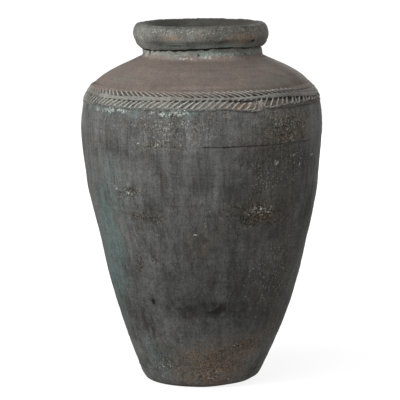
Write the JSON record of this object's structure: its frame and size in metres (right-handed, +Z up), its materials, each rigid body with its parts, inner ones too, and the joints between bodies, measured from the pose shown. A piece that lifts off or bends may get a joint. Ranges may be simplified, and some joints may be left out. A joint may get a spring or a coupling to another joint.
{
  "type": "greek pithos",
  "caption": "Tall hand-built storage jar with a tapering body, a domed shoulder, a pressed herringbone band, a short neck and a rolled rim.",
  "frame": {"origin": "centre of the foot, on the ground", "axes": "+Z up along the jar's axis; the front in the picture faces -Y"},
  "size_m": [0.6695, 0.6695, 1],
  "materials": {
    "wall_clay": "matt, weathered grey-brown fired clay",
    "coil_clay": "matt, smoothed fired clay",
    "lute_slip": "matt, dark fired slip",
    "band_clay": "matt, pressed fired clay with pale crust"
  },
  "bodies": {
    "root": {"floor_slab": "wall_clay", "foot_course": "wall_clay", "lower_wall_course": "wall_clay", "middle_wall_course": "wall_clay", "belly_course": "wall_clay", "upper_belly_course": "wall_clay", "shoulder_course": "wall_clay", "neck_collar": "coil_clay", "rim_roll": "coil_clay", "neck_fillet_coil": "coil_clay", "floor_fillet_coil": "coil_clay", "floor_lute": "lute_slip", "foot_lute": "lute_slip", "lower_wall_lute": "lute_slip", "middle_wall_lute": "lute_slip", "belly_lute": "lute_slip", "edge_lute": "lute_slip", "neck_lute": "lute_slip", "rim_lute": "lute_slip", "upper_pressed_strip": "band_clay", "band_rib": "band_clay", "lower_pressed_strip": "band_clay"}
  },
  "joints": []
}
